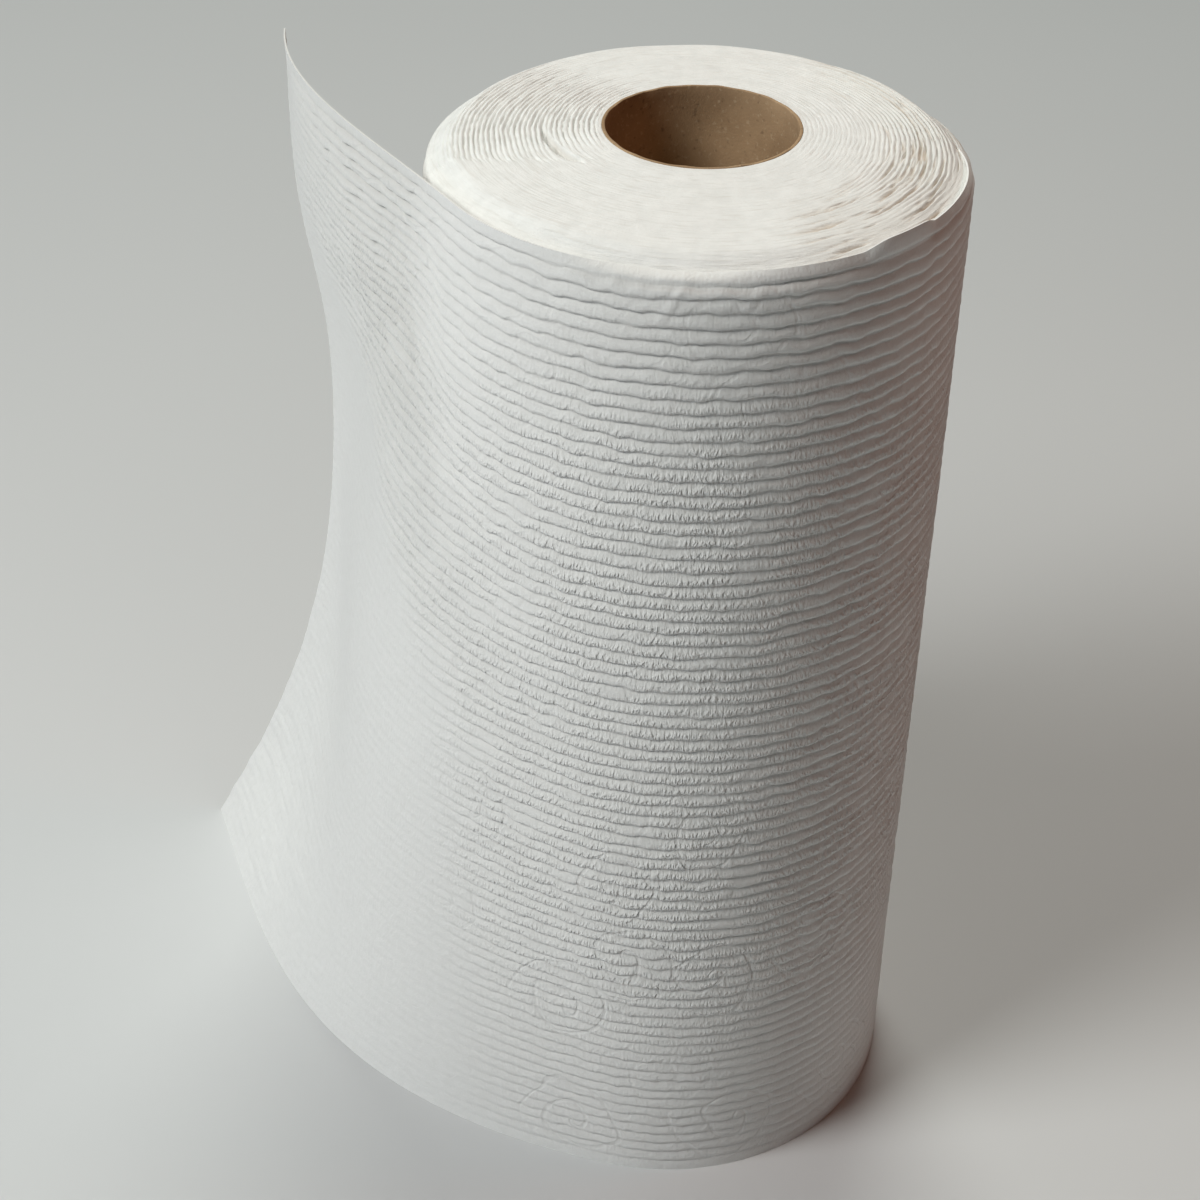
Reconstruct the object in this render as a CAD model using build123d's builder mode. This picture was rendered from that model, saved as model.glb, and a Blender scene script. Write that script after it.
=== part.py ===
from build123d import *

import os
from math import atan2, cos, degrees, radians, sin
from typing import NamedTuple

# A paper towel roll that stands on its end with its last sheet hanging loose.
#
# It is two pieces: a tube of wound board, and one long web of quilted paper. The web
# is glued to the tube, wound round it and left open at its outer end. Its turns are
# pressed together, so they make one solid with the loose stretch.
#
# Millimetres, +Z up. The origin is on the axis of the tube, at the foot of the roll.

# ---- driving sizes ---------------------------------------------------------------

roll_height = 279.0  # width of the web and length of the tube, 11 inches
roll_diameter = 127.0  # over the outermost turn, 5 inches
tube_bore = 44.8  # what a holder's post goes through
tube_wall = 0.8  # two plies of board
web_thickness = 0.7  # one quilted sheet, uncompressed

# The turns lie a little off the axis of the tube, as on a roll that has been handled.
winding_x = -1.1
winding_y = -5.3

# The free edge of the web stands behind the roll's side by this much past its radius.
free_edge_set_back = 19.0

# The round part of the outline is cut into arcs at these two angles, clear of the
# sheet, so that every outline has the same edges.
front_seam_angle = -60.0
back_seam_angle = 150.0

outline_steps = 18  # bands between one outline and the next, up the height


class SheetSection(NamedTuple):
    """The loose sheet as a curve at one height. Angles are in degrees from +X."""

    leaves_at: float  # angle round the roll where the sheet lifts off
    reach: float  # from the roll's left side out to the free edge
    edge_heading: float  # direction that the sheet runs in at its free edge
    run_off: float  # how far the first bend is spread after lifting off
    run_in: float  # how far the last bend is spread before the free edge


# Evenly spaced heights, from the foot of the roll to its top.
loose_sheet = [
    SheetSection(leaves_at=-104, reach=81.0, edge_heading=111, run_off=97, run_in=60),
    SheetSection(leaves_at=-110, reach=59.0, edge_heading=117, run_off=100, run_in=57),
    SheetSection(leaves_at=-115, reach=44.0, edge_heading=120, run_off=98, run_in=50),
    SheetSection(leaves_at=-118, reach=37.0, edge_heading=118, run_off=80, run_in=34),
    SheetSection(leaves_at=-135, reach=36.0, edge_heading=115, run_off=61, run_in=60),
    SheetSection(leaves_at=-160, reach=42.0, edge_heading=110, run_off=52, run_in=96),
    SheetSection(leaves_at=-148, reach=42.5, edge_heading=96, run_off=45, run_in=44),
]

# ---- sizes that follow -----------------------------------------------------------

roll_radius = roll_diameter / 2
tube_inner_radius = tube_bore / 2
tube_outer_radius = tube_inner_radius + tube_wall
winding_centre = Vector(winding_x, winding_y)


def direction(angle):
    """Unit vector at an angle in degrees from +X."""
    return Vector(cos(radians(angle)), sin(radians(angle)))


def on_roll(angle):
    """The point of the outermost turn at an angle in degrees."""
    return winding_centre + direction(angle) * roll_radius


def turn_arc(start_angle, end_angle):
    """A stretch of the outermost turn, going clockwise seen from above."""
    middle_angle = (start_angle + end_angle) / 2
    return ThreePointArc(on_roll(start_angle), on_roll(middle_angle), on_roll(end_angle))


def bezier_point(points, share):
    """The point of a Bezier curve after a share of its run."""
    while len(points) > 1:
        points = [a + (b - a) * share for a, b in zip(points, points[1:])]
    return points[0]


def bezier_rest(points, share):
    """Control points of what is left of a Bezier curve after a share of its run."""
    rest = [points[-1]]
    while len(points) > 1:
        points = [a + (b - a) * share for a, b in zip(points, points[1:])]
        rest.insert(0, points[-1])
    return rest


def eased(values, place):
    """A value between evenly spaced ones, on a curve with no kink at any of them."""
    last = len(values) - 1
    i = min(int(place), last - 1)
    t = place - i
    start, end = values[i], values[i + 1]
    before, after = max(i - 1, 0), min(i + 2, last)
    start_slope = (end - values[before]) / (i + 1 - before)
    end_slope = (values[after] - start) / (after - i)
    return (
        (1 + 2 * t) * (1 - t) ** 2 * start
        + t * (1 - t) ** 2 * start_slope
        + t**2 * (3 - 2 * t) * end
        - t**2 * (1 - t) * end_slope
    )


def sheet_at(height_share):
    """The loose sheet at any share of the roll's height."""
    place = height_share * (len(loose_sheet) - 1)
    return SheetSection(*(eased(values, place) for values in zip(*loose_sheet)))


def sheet_face(section, depth):
    """Control points of one face of the loose sheet, depth below its outer face."""
    lift_heading = section.leaves_at - 90
    free_edge = winding_centre + Vector(
        -(roll_radius + section.reach), roll_radius + free_edge_set_back
    )
    start = on_roll(section.leaves_at) - direction(section.leaves_at) * depth
    end = free_edge + direction(section.edge_heading - 90) * depth
    return [
        start,
        start + direction(lift_heading) * section.run_off,
        end - direction(section.edge_heading) * section.run_in,
        end,
    ]


def clear_of_roll(points):
    """The part of the sheet's inner face that is outside the outermost turn."""
    low, high = 0.0, 0.5
    for _ in range(50):
        share = (low + high) / 2
        if (bezier_point(points, share) - winding_centre).length < roll_radius:
            low = share
        else:
            high = share
    return bezier_rest(points, high)


def clockwise_angle(point):
    """Angle of a point round the roll, from 0 to -360 degrees."""
    spoke = point - winding_centre
    return degrees(atan2(spoke.Y, spoke.X)) % 360 - 360


# ---- tube ------------------------------------------------------------------------

with BuildPart() as core_tube:
    with BuildSketch(Plane.XY):
        Circle(tube_outer_radius)
        Circle(tube_inner_radius, mode=Mode.SUBTRACT)
    extrude(amount=roll_height)

# ---- web -------------------------------------------------------------------------

with BuildPart() as towel_web:
    for step in range(outline_steps + 1):
        height_share = step / outline_steps
        section = sheet_at(height_share)
        outer_face = sheet_face(section, depth=0)
        inner_face = clear_of_roll(sheet_face(section, depth=web_thickness))
        crotch_angle = clockwise_angle(inner_face[0])
        with BuildSketch(Plane.XY.offset(height_share * roll_height)):
            with BuildLine():
                turn_arc(front_seam_angle, section.leaves_at)
                Bezier(*outer_face)
                Line(outer_face[-1], inner_face[-1])
                Bezier(*reversed(inner_face))
                turn_arc(crotch_angle, back_seam_angle - 360)
                turn_arc(back_seam_angle, front_seam_angle)
            make_face()
    loft(ruled=True)
    with BuildSketch(Plane.XY):
        Circle(tube_outer_radius)
    extrude(amount=roll_height, mode=Mode.SUBTRACT)

# ---- files -----------------------------------------------------------------------

os.makedirs("parts", exist_ok=True)

core_tube.part.label = "core_tube"
export_step(core_tube.part, "parts/core_tube.step")

towel_web.part.label = "towel_web"
export_step(towel_web.part, "parts/towel_web.step")
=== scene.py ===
# %% [markdown]
# # A paper towel roll
#
# One long web of embossed paper is wound round a cardboard tube. The newest length of paper has come
# loose on the left and hangs off the roll as a free sheet. This notebook builds the looks of the roll
# around a frame that already holds its sizes: the frame comes from the CAD model, so every piece
# below takes its place from the frame's boxes.

# %% Load the frame
from math import cos, radians, tau

import bpy
import numpy as np
from mathutils import Euler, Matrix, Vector


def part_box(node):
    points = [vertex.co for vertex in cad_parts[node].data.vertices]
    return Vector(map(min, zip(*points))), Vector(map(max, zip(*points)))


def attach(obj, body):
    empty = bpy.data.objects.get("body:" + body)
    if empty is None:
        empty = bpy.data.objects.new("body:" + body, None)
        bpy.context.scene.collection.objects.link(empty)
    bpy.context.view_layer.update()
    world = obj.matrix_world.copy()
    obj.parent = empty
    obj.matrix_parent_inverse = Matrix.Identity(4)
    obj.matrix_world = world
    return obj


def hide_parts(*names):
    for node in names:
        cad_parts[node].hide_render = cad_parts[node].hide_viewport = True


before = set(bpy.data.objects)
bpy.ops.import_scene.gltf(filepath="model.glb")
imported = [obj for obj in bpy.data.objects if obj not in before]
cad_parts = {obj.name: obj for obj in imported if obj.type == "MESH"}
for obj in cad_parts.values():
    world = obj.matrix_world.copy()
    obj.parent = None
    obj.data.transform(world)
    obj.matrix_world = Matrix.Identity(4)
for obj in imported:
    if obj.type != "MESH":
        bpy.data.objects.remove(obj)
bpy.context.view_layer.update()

# %% [markdown]
# ## Sizes
#
# Everything is in metres. The tube gives the height and the bore, and the web's box gives the outer
# radius. The roll isn't wound quite true: its outside sits a few millimetres off the bore.

# %% Driving sizes
mm = 0.001
tube_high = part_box("core_tube")[1]
web_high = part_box("towel_web")[1]
roll_height = tube_high.z
tube_outer_radius = tube_high.x
tube_wall = 0.8 * mm
winding_centre = np.array([-1.1, -5.3]) * mm
roll_radius = web_high.x - winding_centre[0]
free_edge_set_back = 19 * mm
outer_turns_sink = 2 * mm
web_top = roll_height - outer_turns_sink
rib_count = 80
rib_pitch = web_top / rib_count
print(f"height {roll_height:.4f}, outer radius {roll_radius:.4f}, rib pitch {rib_pitch:.5f}")

# %% [markdown]
# ## Writing node trees as sums
#
# Geometry Nodes and shader nodes both do arithmetic with Math nodes, and a long formula becomes a
# long list of links. A small wrapper lets the script write `a * b + c` and adds the Math nodes for
# it, so that the formula stays readable. The nodes it makes are ordinary ones.

# %% A wire is one output socket that knows arithmetic
class Wire:
    def __init__(self, socket):
        self.socket = socket
        self.tree = socket.id_data

    def math(self, operation, *others):
        node = self.tree.nodes.new("ShaderNodeMath")
        node.operation = operation
        for socket, value in zip(node.inputs, (self, *others)):
            plug(socket, value)
        return Wire(node.outputs[0])

    def __add__(self, other):
        return self.math("ADD", other)

    def __sub__(self, other):
        return self.math("SUBTRACT", other)

    def __rsub__(self, other):
        return self.math("MULTIPLY_ADD", -1, other)

    def __mul__(self, other):
        return self.math("MULTIPLY", other)

    def __truediv__(self, other):
        return self.math("DIVIDE", other)

    def __pow__(self, other):
        return self.math("POWER", other)

    def __abs__(self):
        return self.math("ABSOLUTE")

    __radd__ = __add__
    __rmul__ = __mul__


def plug(socket, value):
    if isinstance(value, Wire):
        socket.id_data.links.new(value.socket, socket)
    else:
        socket.default_value = value


def add(tree, kind, sockets=None, **settings):
    """Adds a node, sets it up and plugs its input sockets, by name or number."""
    node = tree.nodes.new(kind)
    for name, value in settings.items():
        setattr(node, name, value)
    for key, value in (sockets or {}).items():
        plug(node.inputs[key], value)
    return node


def out(node, key=0):
    return Wire(node.outputs[key])


def ramp_up(value, start, end):
    """0 before start, 1 after end, and a smooth step between them."""
    node = add(value.tree, "ShaderNodeMapRange", {0: value}, interpolation_type="SMOOTHSTEP")
    plug(node.inputs["From Min"], start)
    plug(node.inputs["From Max"], end)
    return out(node)


def joined(tree, x, y, z):
    return out(add(tree, "ShaderNodeCombineXYZ", {0: x, 1: y, 2: z}))


def split(vector):
    node = add(vector.tree, "ShaderNodeSeparateXYZ", {0: vector})
    return [out(node, axis) for axis in range(3)]


def scaled(vector, factor):
    node = add(vector.tree, "ShaderNodeVectorMath", {0: vector}, operation="SCALE")
    plug(node.inputs["Scale"], factor)
    return out(node)


def summed(first, second):
    return out(add(first.tree, "ShaderNodeVectorMath", {0: first, 1: second}, operation="ADD"))


def noise(vector, scale, detail=2.0, roughness=0.5):
    sockets = {"Vector": vector, "Scale": scale, "Detail": detail, "Roughness": roughness}
    return out(add(vector.tree, "ShaderNodeTexNoise", sockets))


# %% [markdown]
# ## Rules as Geometry Nodes
#
# A rule is a tree with named inputs: its sizes can be changed later without opening the tree. Each
# tree ends in Realize Instances and Set Material. Once it has run on a piece, the script keeps only
# the plain mesh, as Apply does in the modifier panel, so that the piece has no modifier left.

# %% Geometry Nodes trees with named inputs
def new_rule(name, inputs):
    """A tree with a mesh going in and out, and named inputs. Returns it with its input wires."""
    tree = bpy.data.node_groups.new(name, "GeometryNodeTree")
    tree.interface.new_socket("Geometry", in_out="OUTPUT", socket_type="NodeSocketGeometry")
    tree.interface.new_socket("Geometry", in_out="INPUT", socket_type="NodeSocketGeometry")
    for label, kind in inputs.items():
        tree.interface.new_socket(label, in_out="INPUT", socket_type="NodeSocket" + kind)
    group_input = tree.nodes.new("NodeGroupInput")
    return tree, {socket.name: Wire(socket) for socket in group_input.outputs if socket.name}


def finish_rule(tree, geometry, material):
    real = out(add(tree, "GeometryNodeRealizeInstances", {0: geometry}))
    painted = add(tree, "GeometryNodeSetMaterial", {"Geometry": real, "Material": material})
    output = tree.nodes.new("NodeGroupOutput")
    plug(output.inputs[0], out(painted))


def stored(geometry, name, value):
    kept = add(geometry.tree, "GeometryNodeStoreNamedAttribute", {0: geometry, "Name": name})
    plug(kept.inputs["Value"], value)
    return out(kept)


def attribute(tree, name, kind="FLOAT"):
    return out(add(tree, "GeometryNodeInputNamedAttribute", {"Name": name}, data_type=kind))


def apply_rule(piece, tree, values):
    """Runs a tree on a piece, with its inputs set by socket identifier, and keeps the plain mesh."""
    modifier = piece.modifiers.new(tree.name, "NODES")
    modifier.node_group = tree
    for item in tree.interface.items_tree:
        if item.in_out == "INPUT" and item.name in values:
            modifier[item.identifier] = values[item.name]
    evaluated = piece.evaluated_get(bpy.context.evaluated_depsgraph_get())
    mesh = bpy.data.meshes.new_from_object(evaluated)
    piece.modifiers.clear()
    piece.data = mesh
    mesh.name = piece.name
    triangles = sum(len(face.vertices) - 2 for face in mesh.polygons)
    print(f"{piece.name}: {len(mesh.vertices)} points, {triangles} triangles")


def new_piece(name, mesh):
    piece = bpy.data.objects.new(name, mesh)
    bpy.context.scene.collection.objects.link(piece)
    return piece


# %% [markdown]
# ## Camera
#
# The camera looks down on the front of the roll at about 36 degrees, with a slight tilt of the hand.
# It comes early, so that every later step can be judged through it.

# %% Camera
camera_data = bpy.data.cameras.new("camera")
camera_data.lens = 68.75
camera_data.sensor_width = 36
camera = bpy.data.objects.new("camera", camera_data)
camera.location = (-17.0 * mm, -491.6 * mm, 497.2 * mm)
camera_azimuth, camera_elevation, camera_roll = 0.53, 35.71, 1.03
aim = Euler((radians(90 - camera_elevation), 0, radians(camera_azimuth))).to_matrix()
camera.rotation_euler = (aim @ Euler((0, 0, radians(camera_roll))).to_matrix()).to_euler()
bpy.context.scene.collection.objects.link(camera)
bpy.context.scene.camera = camera
print("camera at", [round(c, 3) for c in camera.location], "looking down", camera_elevation, "degrees")

# %% [markdown]
# ## Light and floor
#
# The roll stands on a plain pale floor in soft light. The key lamp stands high on the left, a little
# to the front, so that the ribs throw small shadows and the right side falls away. A lamp high at the
# back lights the top end, a weak blue one near the floor keeps the left side cool, and a small
# orange one on the right turns the shaded side a warm grey. All four are made by one small function:
# a soft lamp is only a place, a size, a power and a colour. A white sheet on a white floor would
# have no edge, so the floor is a shade darker than the paper.

# %% Floor and lamps
def soft_lamp(name, place, size, power, colour):
    lamp = bpy.data.lights.new(name, "AREA")
    lamp.shape = "DISK"
    lamp.size = size
    lamp.energy = power
    lamp.color = colour
    holder = bpy.data.objects.new(name, lamp)
    holder.location = place
    centre = Vector((0, 0, roll_height / 2))
    holder.rotation_euler = (centre - Vector(place)).to_track_quat("-Z", "Y").to_euler()
    bpy.context.scene.collection.objects.link(holder)


def new_material(name, roughness, specular):
    material = bpy.data.materials.new(name)
    material.use_nodes = True
    shader = material.node_tree.nodes["Principled BSDF"]
    shader.inputs["Roughness"].default_value = roughness
    shader.inputs["Specular IOR Level"].default_value = specular
    return material, material.node_tree, shader


def pale_floor_material():
    material, tree, shader = new_material("pale_floor", 0.8, 0.5)
    place = out(add(tree, "ShaderNodeTexCoord"), "Object")
    shade = noise(place, 3.0) * 0.03 + 0.63
    plug(shader.inputs["Base Color"], joined(tree, shade * 0.985, shade * 0.99, shade))
    return material


bpy.ops.mesh.primitive_plane_add(size=12)
floor = bpy.context.object
floor.name = "floor"
floor.data.materials.append(pale_floor_material())

soft_lamp("key_lamp", (-1.00, -0.55, 1.25), 0.65, 16.5, (0.99, 1.0, 0.96))
soft_lamp("back_lamp", (0, 1.15, 2.13), 0.9, 24, (0.95, 0.99, 0.92))
soft_lamp("low_lamp", (-2.0, -0.8, 0.5), 0.9, 5, (0.66, 0.80, 1.0))
soft_lamp("warm_lamp", (0.50, 0.02, 0.66), 0.25, 0.40, (1.0, 0.40, 0.22))
world = bpy.data.worlds.new("room")
world.use_nodes = True
background = world.node_tree.nodes["Background"]
background.inputs["Color"].default_value = (0.90, 0.93, 1.0, 1)
background.inputs["Strength"].default_value = 0.02
bpy.context.scene.world = world
bpy.context.scene.view_settings.view_transform = "Standard"
print(len(bpy.data.lights), "lamps")

# %% [markdown]
# ## Kraft board
#
# The tube is wound from strips of kraft board. Up close the board is brown with pale and dark
# flecks, and it is dull. Noise at four sizes gives cloudy patches, pale flecks, dark flecks and the
# tooth of the surface, which is only a bump.

# %% Kraft board material
def two_tone(tree, factor, first, second):
    mix = add(tree, "ShaderNodeMix", {0: factor}, data_type="RGBA")
    plug(mix.inputs[6], first)
    plug(mix.inputs[7], second)
    return out(mix, 2)


def bump(height, distance, under=None):
    node = add(height.tree, "ShaderNodeBump", {"Height": height, "Distance": distance})
    if under is not None:
        plug(node.inputs["Normal"], under)
    return out(node)


def kraft_board_material():
    material, tree, shader = new_material("kraft_board", 0.85, 0.3)
    place = out(add(tree, "ShaderNodeTexCoord"), "Object")
    clouds = ramp_up(noise(place, 60.0, 3.0), 0.35, 0.65)
    flecks = ramp_up(noise(place, 900.0, 2.0), 0.58, 0.72)
    dark_flecks = ramp_up(noise(place, 650.0, 3.0), 0.60, 0.75)
    board = two_tone(tree, clouds, (0.33, 0.215, 0.122, 1), (0.43, 0.29, 0.17, 1))
    pale = two_tone(tree, flecks * 0.5, board, (0.55, 0.42, 0.28, 1))
    plug(shader.inputs["Base Color"], two_tone(tree, dark_flecks * 0.5, pale, (0.13, 0.08, 0.045, 1)))
    plug(shader.inputs["Normal"], bump(noise(place, 1500.0, 4.0, 0.6), 0.12 * mm))
    return material


# %% [markdown]
# ## The cardboard tube
#
# A core is two or three strips of board glued in a helix round a mandrel and cut to length. The
# strip's edge shows inside as a faint slanting step, and the cut leaves a slightly soft, rough rim.
# The tube could be a CAD cylinder with a bump, but the step and the rim are real shape, so the tube
# is a closed ring of points: a path round the wall's section, swept round the axis.

# %% Tube
def closed_ring(radii, heights, steps):
    """A closed ring mesh. radii and heights are arrays [section point, step], counter-clockwise."""
    angles = np.arange(steps) * tau / steps
    points = np.stack([radii * np.cos(angles), radii * np.sin(angles), heights], -1)
    count = len(radii)
    index = np.arange(count * steps).reshape(count, steps)
    above = np.roll(index, -1, axis=0)
    faces = np.stack([index, np.roll(index, -1, axis=1), np.roll(above, -1, axis=1), above], -1)
    mesh = bpy.data.meshes.new("ring")
    mesh.from_pydata(points.reshape(-1, 3).tolist(), [], faces.reshape(-1, 4).tolist())
    mesh.shade_smooth()
    return mesh


def tube_mesh(steps=300, rim=0.3 * mm, strip_width=78 * mm, strip_step=0.22 * mm, roughness=0.12 * mm):
    inner, outer = tube_outer_radius - tube_wall, tube_outer_radius
    rise = np.linspace(rim, roll_height - rim, 120)
    rounding = radians(90) * np.linspace(0, 1, 5)[1:-1]
    section = [(outer, z) for z in rise[::8]]
    section += [(outer - rim + rim * np.cos(a), roll_height - rim + rim * np.sin(a)) for a in rounding]
    section += [(inner + rim - rim * np.sin(a), roll_height - rim + rim * np.cos(a)) for a in rounding]
    section += [(inner, z) for z in rise[::-1]]
    section += [(inner + rim - rim * np.cos(a), rim - rim * np.sin(a)) for a in rounding]
    section += [(outer - rim + rim * np.sin(a), rim - rim * np.cos(a)) for a in rounding]
    radii = np.repeat(np.array([r for r, _ in section])[:, None], steps, 1)
    heights = np.repeat(np.array([z for _, z in section])[:, None], steps, 1)
    angles = np.arange(steps) * tau / steps
    turned = (heights / strip_width - angles / tau) % 1
    inside = np.clip((outer - 0.3 * tube_wall - radii) / (0.5 * tube_wall), 0, 1)
    near_edge = np.clip(1 - np.minimum(turned, 1 - turned) * 50, 0, 1)
    radii -= inside * strip_step * near_edge * 0.5
    at_top = np.clip((heights - (roll_height - rim)) / rim, 0, 1)
    heights -= at_top * roughness * (1 + np.sin(angles * 17) * np.sin(angles * 5 + 1))
    return closed_ring(radii, heights, steps)


core = new_piece("board_core", tube_mesh())
core.data.materials.append(kraft_board_material())
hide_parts("core_tube")
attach(core, "root")
print("board_core", len(core.data.polygons), "faces")

# %% [markdown]
# ## Towel paper
#
# Tissue is white, dull and a little fuzzy: light scatters in its fibres, so it has no clear
# highlight. The web carries a vector, `place`, with the distance along the web and the height, so
# that its patterns follow the paper round the roll. Fine upright crinkles cross the ribs, and a
# second embossing draws broken scrolls, which press the ribs in along thin curved lines. Shade is
# painted into the colour: the free upper part of the loose sheet turns greyer, and the ribs' valleys
# darker.
#
# The ends of the roll show cut edges instead of the embossed face, so they have a finish of their
# own: rings for the edges, grey painted shade in the grooves, the gape and over the right side,
# and a tan painted shadow where two turns part.

# %% Towel paper material
def tissue_material(name):
    material, tree, shader = new_material(name, 0.92, 0.25)
    shader.inputs["Sheen Weight"].default_value = 0.25
    shader.inputs["Sheen Roughness"].default_value = 0.6
    return material, tree, shader


def carried(tree, name, kind="Fac"):
    """A value that the mesh carries at each point."""
    return out(add(tree, "ShaderNodeAttribute", attribute_name=name), kind)


def scroll_lines(along, height, half_width=0.8 * mm):
    """1 on each scroll's thin line, a spiral about the middle of its cell, and 0 elsewhere."""
    tree = along.tree
    spacing, coil, reach = 32 * mm, 8.0 * mm, 18 * mm
    bend = (noise(joined(tree, along, height, 5.0), 70.0, 1.0) - 0.5) * (9 * mm)
    x, y = along + bend, height - bend
    sockets = {"Vector": joined(tree, x, y, 0.0), "Scale": 1 / spacing, "Randomness": 0.9}
    cells = add(tree, "ShaderNodeTexVoronoi", sockets, voronoi_dimensions="2D")
    middle_x, middle_y, _ = split(out(cells, "Position"))
    which, shown, _ = split(out(cells, "Color"))
    spin = which.math("GREATER_THAN", 0.5) * 2 - 1
    away = out(cells, "Distance") * spacing
    angle = (y - middle_y).math("ARCTAN2", x - middle_x)
    winding = (away / coil + angle * spin / tau).math("FRACT")
    line = 1 - ramp_up(abs(winding - 0.5) * coil, half_width * 0.25, half_width)
    low_down = 1 - ramp_up(height, 70 * mm, 190 * mm) * 0.65
    return line * (1 - ramp_up(away, reach * 0.8, reach)) * ramp_up(shown, 0.05, 0.25) * low_down


def crease_line(along, height, start, end, half_width=1.8 * mm, fade=5 * mm):
    """1 on a short straight crease between two places on the web, in mm, and 0 elsewhere."""
    start_along, start_up = start[0] * mm, start[1] * mm
    run_along, run_up = end[0] * mm - start_along, end[1] * mm - start_up
    length = (run_along**2 + run_up**2) ** 0.5
    off_along, off_up = along - start_along, height - start_up
    travelled = (off_along * run_along + off_up * run_up) / length
    aside = abs(off_along * run_up - off_up * run_along) / length
    ends = ramp_up(travelled, 0.0, fade) * (1 - ramp_up(travelled, length - fade, length))
    return (1 - ramp_up(aside, 0.0, half_width)) * ends


def towel_paper_material():
    material, tree, shader = tissue_material("towel_paper")
    along, height, _ = split(carried(tree, "place", "Vector"))
    ribs, valley, painted_sheet_shade = [carried(tree, name) for name in ("rib_share", "valley", "painted_sheet_shade")]
    web = joined(tree, along, height, 0.0)
    middle = ramp_up(height, 20 * mm, 90 * mm) * (1 - ramp_up(height, 215 * mm, 262 * mm))
    crinkle = ramp_up(noise(joined(tree, along * 1250.0, height * 620.0, 0.0), 1.0, 1.0), 0.30, 0.70)
    patches = ramp_up(noise(web, 70.0, 2.0), 0.28, 0.56)
    rib_phase = (height / rib_pitch).math("FRACT")
    belly = ramp_up(rib_phase, 0.0, 0.15) * (1 - ramp_up(rib_phase, 0.40, 0.75)) * 0.8 + 0.2
    fibres = noise(web, 2600.0, 3.0, 0.6)
    clumps = noise(web, 420.0, 3.0)
    tooth = bump(fibres, 0.06 * mm)
    creased = bump(crinkle * (patches * belly * middle * ribs * 0.9 + 0.10), 0.34 * mm, tooth)
    clumped = bump(clumps, 0.16 * mm, creased)
    pressed = bump(1 - scroll_lines(along, height) * (ribs * 0.85 + 0.1), 0.18 * mm, clumped)
    folds = crease_line(along, height, (3.1, 275), (-3.9, 263))
    folds = folds + crease_line(along, height, (20.1, 274), (13.4, 266))
    for top, foot in ((-93, 268), (-77, 246)), ((-88, 273), (-73, 250)), ((-83, 275), (-70, 240)):
        folds = folds - crease_line(along, height, top, foot) * 0.8
    plug(shader.inputs["Normal"], bump(folds, 0.18 * mm, pressed))
    shade = ramp_up(clumps, 0.25, 0.75) * 0.35 + ramp_up(fibres, 0.3, 0.7) * 0.35
    white = two_tone(tree, shade, (0.80, 0.795, 0.775, 1), (0.88, 0.875, 0.86, 1))
    # Painted shade: the free upper part of the loose sheet is coloured greyer.
    greyer = two_tone(tree, painted_sheet_shade * 0.5, white, (0.66, 0.66, 0.64, 1))
    # Painted shade: the ribs' valleys are coloured a darker grey.
    plug(shader.inputs["Base Color"], two_tone(tree, valley * 0.36, greyer, (0.56, 0.54, 0.51, 1)))
    return material


def turn_edges_material():
    material, tree, shader = tissue_material("turn_edges")
    place = out(add(tree, "ShaderNodeTexCoord"), "Object")
    x, y, _ = split(place)
    radius, angle = (x * x + y * y).math("SQRT"), y.math("ARCTAN2", x)
    ring_place = joined(tree, radius * 1500.0, angle.math("COSINE") * 5.0, angle.math("SINE") * 5.0)
    rings = noise(ring_place, 1.0, 4.0, 0.6)
    painted_end_shade, painted_tan_shadow = carried(tree, "painted_end_shade"), carried(tree, "painted_tan_shadow")
    fuzz = noise(place, 1500.0, 4.0, 0.65)
    clumps = noise(place, 260.0, 3.0)
    white = two_tone(tree, ramp_up(clumps, 0.3, 0.7), (0.83, 0.828, 0.81, 1), (0.89, 0.888, 0.87, 1))
    ringed = two_tone(tree, ramp_up(rings, 0.52, 0.70) * 0.35, white, (0.66, 0.63, 0.58, 1))
    # Painted shade: grey in the grooves, in the gape and over the right side of the end.
    greyed = two_tone(tree, painted_end_shade * 0.45, ringed, (0.60, 0.56, 0.50, 1))
    # Painted shadow: tan where turns part.
    plug(shader.inputs["Base Color"], two_tone(tree, painted_tan_shadow * 0.75, greyed, (0.55, 0.44, 0.33, 1)))
    plug(shader.inputs["Normal"], bump(fuzz + clumps, 0.10 * mm, bump(rings, 0.25 * mm)))
    return material


towel_paper = towel_paper_material()
turn_edges = turn_edges_material()
for material in (towel_paper, turn_edges):
    print(material.name, len(material.node_tree.nodes), "nodes")

# %% [markdown]
# ## The wound turns
#
# Some hundred turns of paper make one body, and only their edges show, on the two ends. They follow
# a rule, a spiral, so Geometry Nodes make the body: a flat grid is bent into a closed ring whose
# rows run across the top end, down the outside, across the foot and up the bore. The spiral's phase
# then lifts each turn's edge above the gap beside it. Modelling each turn would take millions of
# faces, and a bump alone would leave the ends flat where the low light rakes over them.
#
# The turns aren't equal all round. On the left the edges stand up, thin and wavy, as far as a crease
# beyond which they lean over and lie smooth. On the right near the rim they part, and a tan shadow
# is painted between them. Beside the tube two turns gape. All this is written as shares from 0 to 1
# that say where round the roll each effect holds, and the shares are multiplied.

# %% Rule for the wound turns
def polar_window(angle, middle, half_width, softness):
    """1 within half_width degrees of the middle angle, fading to 0 over softness degrees."""
    leaning = (angle - radians(middle)).math("COSINE")
    return ramp_up(leaning, cos(radians(half_width + softness)), cos(radians(half_width)))


section_rows, top_rows, wall_rows, foot_rows = 260, 182, 4, 70


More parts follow.
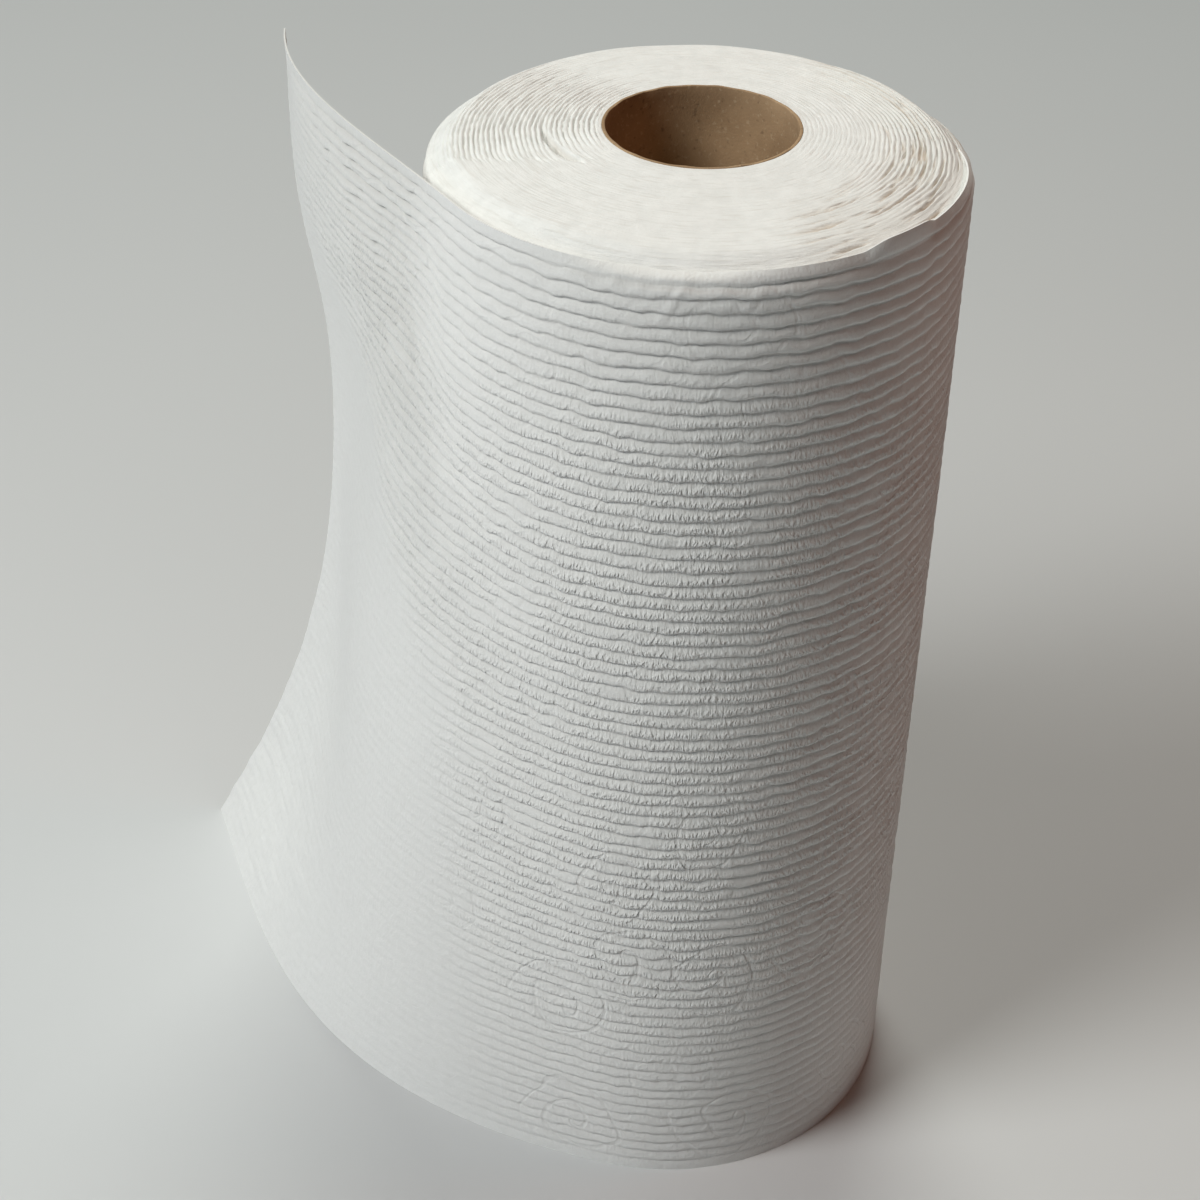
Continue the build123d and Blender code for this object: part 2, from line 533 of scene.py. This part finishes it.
def wound_turns_rule():
    inputs = {"Inner Radius": "Float", "Outer Radius": "Float", "Height": "Float", "Spiral Step": "Float",
              "Rim Radius": "Float", "Edge Spacing": "Float", "Edge Height": "Float", "Centre": "Vector",
              "Seam Angle": "Float", "Seed": "Float", "Rows": "Int", "Steps": "Int",
              "Material": "Material"}
    tree, given = new_rule("wound_turns_rule", inputs)
    grid = add(tree, "GeometryNodeMeshGrid", {"Size X": 1.0, "Size Y": 1.0})
    plug(grid.inputs["Vertices X"], given["Rows"])
    plug(grid.inputs["Vertices Y"], given["Steps"])
    row_share, step_share, _ = split(out(add(tree, "GeometryNodeInputPosition")))
    around, turn_share = row_share + 0.5, step_share + 0.5
    angle = turn_share * tau

    # Round the section: across the top, down the outside, back across the foot, up the bore.
    top_end, wall_end, foot_end = np.cumsum([top_rows, wall_rows, foot_rows]) / section_rows
    top_end, wall_end, foot_end = float(top_end), float(wall_end), float(foot_end)
    outward = (around / top_end).math("MINIMUM", 1.0)
    inward = ((around - wall_end) / (foot_end - wall_end)).math("MAXIMUM", 0.0).math("MINIMUM", 1.0)
    across = outward - inward
    down = ((around - top_end) / (wall_end - top_end)).math("MAXIMUM", 0.0).math("MINIMUM", 1.0)
    up = ((around - foot_end) / (1 - foot_end)).math("MAXIMUM", 0.0)
    on_top = 1 - ramp_up(around, top_end + 0.001, top_end + 0.002)
    on_foot = ramp_up(around, wall_end - 0.002, wall_end - 0.001)
    on_foot = on_foot * (1 - ramp_up(around, foot_end - 0.002, foot_end - 0.001))

    # The wall follows the spiral. The rim above it stands back a millimetre more at the front only.
    spiral = (turn_share - given["Seam Angle"] / tau).math("FRACT")
    wall_radius = given["Outer Radius"] - spiral * given["Spiral Step"]
    right_rim = polar_window(angle, -25, 20, 36)
    back_rim = polar_window(angle, 125, 85, 40)
    rim_radius = given["Rim Radius"] + (right_rim + back_rim).math("MINIMUM", 1.0) * mm
    on_wall = ramp_up(down, 0.0, 0.2)
    reach = rim_radius + (wall_radius - rim_radius) * on_wall - given["Inner Radius"]
    radius = given["Inner Radius"] + across * reach
    centre_x, centre_y, _ = split(given["Centre"])
    x = radius * angle.math("COSINE") + centre_x * across
    y = radius * angle.math("SINE") + centre_y * across

    # The turns' edges are lines along the spiral that waver, with streaks of uneven height.
    flat = joined(tree, x, y, given["Seed"])
    long_wave = noise(flat, 30.0, 1.0) - 0.5
    short_wave = noise(flat, 160.0, 2.0) - 0.5
    phase = across * reach / given["Edge Spacing"] + turn_share + long_wave * 2.2 + short_wave * 0.8
    groove = abs(phase.math("FRACT") * 2 - 1) ** 4.0
    streak_place = joined(tree, radius * 900.0, angle.math("COSINE") * 1.6, angle.math("SINE") * 1.6)
    streaks = noise(summed(streak_place, scaled(flat, 20.0)), 1.0, 3.0, 0.7) - 0.5

    # Past a crease on the left the edges lean over; on the right they part; at the front they lie flat.
    leaning_over = ramp_up(0 - y + long_wave * (12 * mm) + streaks * (9 * mm), 15.5 * mm, 18.5 * mm)
    crease_side = ramp_up(0 - x, 20 * mm, 28 * mm)
    left = polar_window(angle, 172, 24, 26) * (1 - leaning_over)
    right = polar_window(angle, -5, 48, 22) * ramp_up(across, 0.30, 0.75)
    front = polar_window(angle, -100, 52, 26)
    line_share = (left + right * 0.8 + 0.16) * (1 - front * 0.85)
    in_from_rims = ramp_up(across, 0.0, 0.05) * (1 - ramp_up(across, 0.84, 0.97))
    edges = groove * line_share * in_from_rims
    parted = ramp_up(streaks, 0.04, 0.16) * right

    # Two turns gape beside the tube.
    gape_start, gape_span, gape_radius, gape_drift = radians(172), radians(47), 34.9 * mm, 4.2 * mm
    gape_turn = (angle - gape_start) / gape_span
    gape_middle = gape_radius - (gape_turn - 0.5) * gape_drift
    gape_ends = ramp_up(gape_turn, 0.0, 0.5) * (1 - ramp_up(gape_turn, 0.8, 1.0))
    gape_aside = abs(radius - gape_middle) / (gape_ends * (1.3 * mm) + 1e-5)
    gape = (1 - ramp_up(gape_aside, 0.55, 1.0)) * gape_ends
    lip = leaning_over * (1 - ramp_up(0 - y, 19 * mm, 34 * mm)) * crease_side

    # The end is a low dome that falls away at the rim, and the grooves are cut into it.
    dome = (across ** 1.6) * (1.7 * mm)
    rim_fall = ramp_up(across, 0.80, 1.0) ** 1.5 * (4.0 * mm) * (1 - right_rim * 0.45)
    relief = streaks * (line_share * 0.9 + 0.15) * ramp_up(across, 0.0, 0.04)
    relief = relief - edges - gape * 2.6 - parted * 1.1 + lip * 0.6
    swell = long_wave * (1.3 * mm) * in_from_rims
    top_drop = dome + rim_fall - swell - relief * given["Edge Height"]
    foot_rise = rim_fall * 0.3 + edges * given["Edge Height"]
    z = given["Height"] * (1 - down**2.4 + up) - top_drop * on_top + foot_rise * on_foot
    # Painted shade: the grooves, the gape and the right side of the end are coloured grey.
    painted_end_shade_share = (edges + gape * 0.8 + right * 0.5).math("MINIMUM", 1.0)
    # Painted shadow: tan colour where the turns part on the right near the rim.
    marked = stored(stored(out(grid), "painted_end_shade", painted_end_shade_share), "painted_tan_shadow", parted * on_top)
    moved = add(tree, "GeometryNodeSetPosition", {"Geometry": marked, "Position": joined(tree, x, y, z)})
    closed = add(tree, "GeometryNodeMergeByDistance", {"Geometry": out(moved), "Distance": 0.01 * mm})
    smooth = add(tree, "GeometryNodeSetShadeSmooth", {"Geometry": out(closed)})
    finish_rule(tree, out(smooth), given["Material"])
    return tree


# %% [markdown]
# ## Wound turns from the rule
#
# The inner radius is the tube's own, so the first turn sits on the board. The outer radius leaves room
# for the newest turn, which is a piece of its own because its face shows. The seam, at the front, is
# where that turn begins and the loose sheet runs on from it.

# %% Make the wound turns
seam_angle = radians(-95)
wrap_lining = 0.7 * mm
spiral_step = 1.0 * mm
turns = new_piece("wound_turns", bpy.data.meshes.new("empty"))
apply_rule(turns, wound_turns_rule(), {
    "Inner Radius": tube_outer_radius, "Outer Radius": roll_radius - wrap_lining - 0.1 * mm,
    "Rim Radius": roll_radius - 2.4 * mm,
    "Height": roll_height - 0.3 * mm, "Spiral Step": spiral_step, "Edge Spacing": 1.15 * mm,
    "Edge Height": 0.75 * mm, "Centre": (*winding_centre, 0), "Seam Angle": seam_angle, "Seed": 4.0,
    "Rows": section_rows + 1, "Steps": 381, "Material": turn_edges,
})
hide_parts("towel_web")
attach(turns, "root")

# %% [markdown]
# ## Where the paper runs
#
# The newest turn covers the roll, and past the front it leaves the roll and becomes the loose sheet.
# Seven sections, from the foot to the top, say where the paper leaves the roll and where it ends, as
# in the CAD model. At any height the loose part is one Bezier curve, tangent to the roll.

# %% Sections of the loose sheet
# At each section: leaving angle, reach past the roll, free edge's heading, run off, run in.
loose_sections = np.array([
    (-104, 81.0, 111, 97, 60),
    (-110, 59.0, 117, 100, 57),
    (-115, 44.0, 120, 98, 50),
    (-118, 37.0, 118, 80, 34),
    (-135, 36.0, 115, 61, 60),
    (-160, 42.0, 110, 52, 96),
    (-148, 42.5, 96, 45, 44),
])


def section_at(share):
    """The sections eased by a cubic curve to a share of the height."""
    place = min(max(share, 0), 1) * (len(loose_sections) - 1)
    i = min(int(place), len(loose_sections) - 2)
    t = place - i
    start, end = loose_sections[i], loose_sections[i + 1]
    before, after = max(i - 1, 0), min(i + 2, len(loose_sections) - 1)
    start_slope = (end - loose_sections[before]) / (i + 1 - before)
    end_slope = (loose_sections[after] - start) / (after - i)
    eased = (1 + 2 * t) * (1 - t) ** 2 * start + t * (1 - t) ** 2 * start_slope
    return eased + t**2 * (3 - 2 * t) * end - t**2 * (1 - t) * end_slope


def heading(angle):
    """Unit vectors that point that way on the floor."""
    return np.stack([np.cos(angle), np.sin(angle)], -1)


def sheet_outline(share, points_on_roll=150):
    """Points from the seam on the roll to the free edge, and their distances along the paper."""
    leaves_at, reach, edge_heading, run_off, run_in = section_at(share)
    leaves_at, edge_heading = radians(leaves_at), radians(edge_heading)
    on_roll = winding_centre + roll_radius * heading(np.linspace(seam_angle, leaves_at, points_on_roll))
    start = on_roll[-1]
    end = winding_centre + [-(roll_radius + reach * mm), roll_radius + free_edge_set_back]
    first = start + heading(leaves_at - tau / 4) * run_off * mm
    second = end - heading(edge_heading) * run_in * mm
    t = np.linspace(0, 1, 400)[1:, None]
    free = (1 - t) ** 3 * start + 3 * t * (1 - t) ** 2 * first + 3 * t**2 * (1 - t) * second + t**3 * end
    points = np.concatenate([on_roll, free])
    distance = np.concatenate([[0], np.cumsum(np.hypot(*np.diff(points, axis=0).T))])
    return points, distance, distance[points_on_roll - 1]


# %% [markdown]
# ## The rows of points
#
# Each rib gets five rows of points: one in its valley, one on its short lower flank, one on its crown
# and two down its long upper flank. The rows aren't evenly spaced, so a valley stays thin and dark
# with few points. Evenly spaced rows would need twice as many for the same valley.

# %% Rows and columns
row_phases = np.array([0, 0.11, 0.32, 0.62, 0.86])
row_heights = np.append((np.arange(rib_count)[:, None] + row_phases).ravel() * rib_pitch, web_top)
sheet_thickness = 0.4 * mm
print(len(row_heights), "rows of points up the height")


def smooth_step(value, start, end):
    """The same step as ramp_up, for arrays of numbers."""
    t = np.clip((value - start) / (end - start), 0, 1)
    return t * t * (3 - 2 * t)


def facing_share(angles, middle, fade_end, full):
    """1 within full degrees of the middle angle, fading to 0 at fade_end degrees."""
    return smooth_step(np.cos(angles - radians(middle)), cos(radians(fade_end)), cos(radians(full)))


def rolled_rim(grid, pull, heights, share, bend_length=6.4 * mm, bend_radius=4.5 * mm):
    """Bends the top few millimetres over on to the end face, by a share from 0 to 1."""
    rest = np.clip(heights - (web_top - bend_length), 0, None)
    bend = rest / bend_radius * share
    grid[..., :2] -= pull * (bend_radius * (1 - np.cos(bend)))[..., None]
    bent = np.where(bend > 0.01, np.sin(bend) / np.maximum(bend, 0.01), 1) * rest
    grid[..., 2] = heights - rest + bent
    return grid


# %% [markdown]
# ## The paper as plain grids
#
# Both parts of the paper start as a smooth grid: rows go up the height, columns go along the web. The
# outer turn's edge is rolled over on to the end face, but on the front right it stands up and is
# frayed, and at the back it dips below the domed end. The columns are closest on the side that shows
# its ribs best. The loose sheet could be hung by a cloth simulation, but a towel that has been pulled
# off its roll keeps the bend it was wound with, and stands. So each row follows its own curve.

# %% The paper on the roll, and the loose sheet, as plain grids
def wrap_grid(fine_turn=115, fine_columns=110, coarse_columns=102):
    fine = np.linspace(0, fine_turn, fine_columns)
    coarse = np.linspace(fine_turn, 360, coarse_columns + 1)[1:]
    turned = np.radians(np.concatenate([fine, coarse]))
    angles = seam_angle + turned
    radius = roll_radius - spiral_step * turned / tau
    flat = winding_centre + radius[:, None] * heading(angles)
    rows, columns = len(row_heights), len(angles)
    grid = np.zeros((rows, columns, 3))
    grid[..., :2] = flat
    heights = np.repeat(row_heights[:, None], columns, 1)
    standing = facing_share(angles, -40, 52, 14)
    rim_share = np.broadcast_to(1 - 0.5 * standing, grid.shape[:2])
    grid = rolled_rim(grid, heading(angles), heights, rim_share)
    lifted = facing_share(angles, -46, 11, 4) * smooth_step(heights, web_top - 5 * mm, web_top)
    dip, dip_height, fray_out, fray_up = 2.0 * mm, 14 * mm, 1.1 * mm, 2.2 * mm
    sunk = np.maximum(facing_share(angles, 125, 125, 85), smooth_step(turned, radians(300), radians(330)))
    grid[..., 2] -= dip * sunk * smooth_step(heights, web_top - dip_height, web_top)
    fray = np.append(heading(angles) * fray_out, np.full((columns, 1), fray_up), axis=1)
    grid += lifted[..., None] * fray
    along = np.broadcast_to(roll_radius * turned, grid.shape[:2])
    return grid, np.stack([along, heights, 0 * heights], -1)


def loose_grid(columns=105, edge_drop=8 * mm):
    q = np.linspace(1, 0, columns)
    shares = 0.6 * q + 0.4 * q * q
    grid = np.zeros((len(row_heights), columns, 3))
    place = np.zeros_like(grid)
    freed = np.zeros(grid.shape[:2])
    for row, height in enumerate(row_heights):
        points, distance, leaves = sheet_outline(height / web_top)
        wanted = shares * distance[-1]
        grid[row, :, 0] = np.interp(wanted, distance, points[:, 0])
        grid[row, :, 1] = np.interp(wanted, distance, points[:, 1])
        place[row] = np.stack([-wanted, np.full(columns, height), np.zeros(columns)], -1)
        freed[row] = wanted - leaves
    lengths = -place[:, 0, 0]
    print(f"sheet from seam to free edge: {lengths.min():.4f} to {lengths.max():.4f}")
    rim_share = 1 - smooth_step(freed, -55 * mm, -5 * mm)
    pull = grid[..., :2] - winding_centre
    pull /= np.linalg.norm(pull, axis=-1, keepdims=True)
    grid = rolled_rim(grid, pull, place[..., 1], rim_share)
    free_share = np.clip(freed / freed[:, :1], 0, 1)
    grid[..., 2] -= edge_drop * place[..., 1] / web_top * free_share**1.5
    return grid, place, freed


def facing(grid):
    """Unit vectors that point out of the paper, away from the roll."""
    along, upward = np.gradient(grid, axis=1), np.gradient(grid, axis=0)
    normal = np.cross(along, upward)
    return normal / np.linalg.norm(normal, axis=-1, keepdims=True)


# %% [markdown]
# ## From grids to closed sheets
#
# Real paper has two faces and an edge all round. Solidify could thicken a grid, but the script needs
# to know which point is which, to give both faces the same place on the web. So the second face and
# the strips that close the edge are made point by point.

# %% A closed sheet from an outer and an inner grid
def closed_sheet(name, outer, inner, facts):
    """Both grids run from left to right and from the foot up; facts are attributes of each point."""
    first = np.arange(outer.shape[0] * outer.shape[1]).reshape(outer.shape[:2])
    second = np.arange(inner.shape[0] * inner.shape[1]).reshape(inner.shape[:2]) + first.size
    faces = []
    for index, order in ((first, 1), (second, -1)):
        corners = [index[:-1, :-1], index[:-1, 1:], index[1:, 1:], index[1:, :-1]]
        faces += np.stack(corners, -1).reshape(-1, 4)[:, ::order].tolist()
    for row, order in ((0, -1), (-1, 1)):
        corners = [first[row, :-1], first[row, 1:], second[row, 1:], second[row, :-1]]
        faces += np.stack(corners, -1)[:, ::order].tolist()
    for column, order in ((0, 1), (-1, -1)):
        if outer.shape[0] == inner.shape[0]:
            ends = [first[:-1, column], first[1:, column], second[1:, column], second[:-1, column]]
            faces += np.stack(ends, -1)[:, ::order].tolist()
        else:
            faces.append(np.concatenate([first[:, column], second[::-1, column]])[::order].tolist())
    mesh = bpy.data.meshes.new(name)
    points = np.concatenate([outer.reshape(-1, 3), inner.reshape(-1, 3)])
    mesh.from_pydata(points.tolist(), [], faces)
    for label, values in facts.items():
        flat = np.concatenate([values[0].reshape(first.size, -1), values[1].reshape(second.size, -1)])
        vector = flat.shape[1] == 3
        fact = mesh.attributes.new(label, "FLOAT_VECTOR" if vector else "FLOAT", "POINT")
        fact.data.foreach_set("vector" if vector else "value", flat.astype(np.float32).ravel())
    mesh.shade_smooth()
    mesh.set_sharp_from_angle(angle=radians(50))
    return mesh


# %% [markdown]
# ## The ribs
#
# The paper is pressed between rollers that leave level, rounded ribs with thin valleys. They repeat
# by a rule, so Geometry Nodes press them: each point sinks along the paper's own facing by a rounded
# profile of its height. Each rib is broken into segments that stand prouder or lower, its line
# wavers up and down a little, as real crepe does, and the scrolls cut it. The tree reads the facing
# and the place from the mesh, so it works the same on the roll and on the loose sheet, and the ribs
# run on across the join of the two pieces.

# %% Rule for the ribs
def rib_rule():
    inputs = {"Rib Pitch": "Float", "Rib Depth": "Float", "Waver": "Float", "Dents": "Float",
              "Seed": "Float", "Height": "Float", "Material": "Material"}
    tree, given = new_rule("rib_rule", inputs)
    place = attribute(tree, "place", "FLOAT_VECTOR")
    outward = attribute(tree, "outward", "FLOAT_VECTOR")
    share = attribute(tree, "rib_share")
    along, height, _ = split(place)
    phase = height / given["Rib Pitch"]
    valley = abs(phase.math("FRACT") ** 0.62 * 2 - 1) ** 1.7
    uneven = noise(joined(tree, along * 45.0, phase * 0.5, given["Seed"]), 1.0, 2.0) * 0.9 + 0.55
    segments = noise(joined(tree, along * 170.0, phase * 0.9, given["Seed"] + 5.3), 1.0, 1.0)
    scrolls = scroll_lines(along, height, 2.0 * mm)
    pressed_in = valley * uneven * (segments * 0.9 + 0.55) * (1 - scrolls * 0.5) - segments * 0.35
    pressed_in = pressed_in + scrolls * 0.24
    sink = pressed_in * given["Rib Depth"] * share
    quick = noise(joined(tree, along * 190.0, phase * 0.6, given["Seed"] + 3.7), 1.0, 2.0) - 0.5
    slow = noise(joined(tree, along * 30.0, phase * 0.15, given["Seed"] + 9.1), 1.0, 1.0) - 0.5
    ends = ramp_up(height, 0.0, 8 * mm) * (1 - ramp_up(height, given["Height"] - 6 * mm, given["Height"]))
    scroll_pull = scrolls * share.math("MINIMUM", 1.0)
    waver = (quick * 4.0 + slow * 2.2 + scroll_pull * 0.9) * given["Waver"] * ends
    dents = (noise(scaled(place, 16.0), 1.0, 1.0) - 0.5) * given["Dents"] * 2 * ends
    shift = summed(scaled(outward, dents - sink), joined(tree, 0.0, 0.0, waver))
    pressed = add(tree, "GeometryNodeSetPosition", {"Geometry": given["Geometry"], "Offset": shift})
    # The valley share is kept so that the paper can paint the valleys darker as shade.
    finish_rule(tree, stored(out(pressed), "valley", valley * share), given["Material"])
    return tree


rib_tree = rib_rule()
rib_values = {"Rib Pitch": rib_pitch, "Rib Depth": 0.80 * mm, "Waver": 0.6 * mm, "Dents": 0.35 * mm,
              "Seed": 2.0, "Height": web_top, "Material": towel_paper}
print("rib rule:", len(rib_tree.nodes), "nodes,", rib_count, "ribs")

# %% [markdown]
# ## The outer turn
#
# The newest turn is a thin closed sheet that goes once round. Its inside lies against the roll where
# nobody sees it, so its lining has only three rows of points, and the points saved go to the ribs.
# It is thicker than paper below, so that no rib can sink through it, and thins to paper at the top.

# %% Outer turn
def rib_fade(height):
    """The ribs are faint near the foot and stop just below the top edge."""
    from_foot = 0.55 * smooth_step(height, 0, 5 * mm) + 0.45 * smooth_step(height, 15 * mm, 110 * mm)
    return from_foot * (1 - smooth_step(height, web_top - 3.5 * mm, web_top - 0.4 * mm))


wrap, wrap_place = wrap_grid()
wrap_facing = facing(wrap)
lining_rows = [0, len(row_heights) - 12, -1]
lining_depths = np.array([wrap_lining, wrap_lining, sheet_thickness])
lining = wrap[lining_rows] - wrap_facing[lining_rows] * lining_depths[:, None, None]
wrap_ribs = rib_fade(wrap_place[..., 1])
facts = {"place": (wrap_place, wrap_place[lining_rows]),
         "outward": (wrap_facing, wrap_facing[lining_rows]),
         "rib_share": (wrap_ribs, wrap_ribs[lining_rows] * 0)}
outer_turn = new_piece("outer_turn", closed_sheet("outer_turn", wrap, lining, facts))
apply_rule(outer_turn, rib_tree, rib_values)

# %% [markdown]
# ## The loose sheet
#
# The sheet shows both faces, and the embossing shows through it: what is a valley outside is a ridge
# inside. Its ribs are as deep as the roll's near the join, deeper high up, where the paper is
# bunched as it leaves the roll, and almost gone towards the free edge, where it has relaxed.

# %% Loose sheet
loose, loose_place, freed = loose_grid()
loose_facing = facing(loose)
inside = loose - loose_facing * sheet_thickness
upper = smooth_step(loose_place[..., 1], 130 * mm, 235 * mm)
fade_start = 18 * mm + 66 * mm * upper
relaxed = smooth_step(freed, fade_start, fade_start + 30 * mm)
loose_ribs = (1 - 0.88 * relaxed) * rib_fade(loose_place[..., 1])
puckered = smooth_step(freed, 8 * mm, 24 * mm) * (1 - smooth_step(freed, 48 * mm, 75 * mm))
high_up = smooth_step(loose_place[..., 1], 195 * mm, 245 * mm)
loose_ribs *= 1 + (0.4 * smooth_step(freed, -10 * mm, 10 * mm) + 0.9 * puckered) * high_up
# Painted shade: the share of the free, high part of the sheet whose colour is greyed.
painted_sheet_shade_share = smooth_step(freed, 0, 30 * mm) * smooth_step(loose_place[..., 1], 120 * mm, 240 * mm)
facts = {"place": (loose_place, loose_place),
         "outward": (loose_facing, loose_facing),
         "painted_sheet_shade": (painted_sheet_shade_share, painted_sheet_shade_share),
         "rib_share": (loose_ribs, loose_ribs)}
loose_sheet = new_piece("loose_sheet", closed_sheet("loose_sheet", loose, inside, facts))
apply_rule(loose_sheet, rib_tree, rib_values)

# %% [markdown]
# ## Tying the paper to the frame
#
# The CAD model holds the whole web as one node, and the looks split it into three pieces, so all
# three stand for that node. Nothing on a roll moves, so they ride on the root body.

# %% Tie both to the frame
for piece in (outer_turn, loose_sheet):
    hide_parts("towel_web")
    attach(piece, "root")
